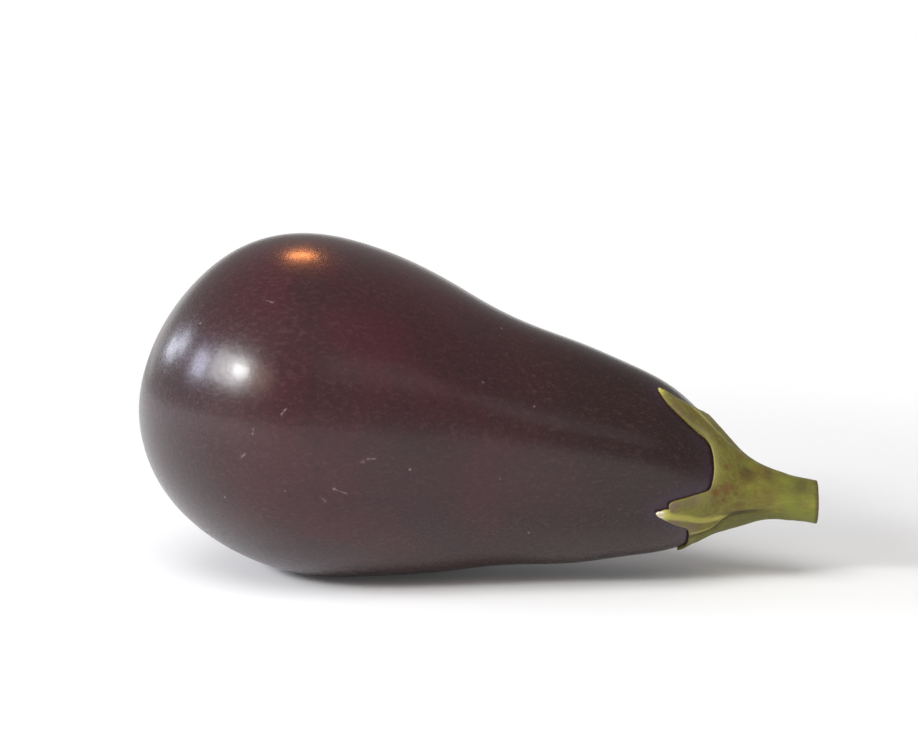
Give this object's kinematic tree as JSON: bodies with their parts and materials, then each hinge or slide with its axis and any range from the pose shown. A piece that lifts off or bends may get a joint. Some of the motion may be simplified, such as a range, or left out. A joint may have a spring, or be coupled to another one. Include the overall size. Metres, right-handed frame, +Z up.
{
  "type": "eggplant",
  "caption": "Whole pear-shaped purple eggplant lying on its side, with a lobed green calyx clasping its narrow neck and a short cut stem.",
  "frame": {"origin": "middle of the bounding box at its base, on the surface that the eggplant lies on", "axes": "+X along the fruit from the blossom end to the stem end, +Z up; -Y is the side that is seen from the front"},
  "size_m": [0.198, 0.105, 0.0995],
  "materials": {
    "purple_skin": "smooth waxy dark purple-brown skin, semi-gloss, with fine pores, pale specks and a few light scratches",
    "calyx_green": "matt leathery olive-green sepals, with pale raised ribs and rims, purplish tinge and small brown scabs",
    "stem_green": "matt ribbed olive-green stalk, brown where it dried and at its cut end"
  },
  "bodies": {
    "root": {"fruit": "purple_skin", "calyx": "calyx_green", "stem": "stem_green"}
  },
  "joints": []
}
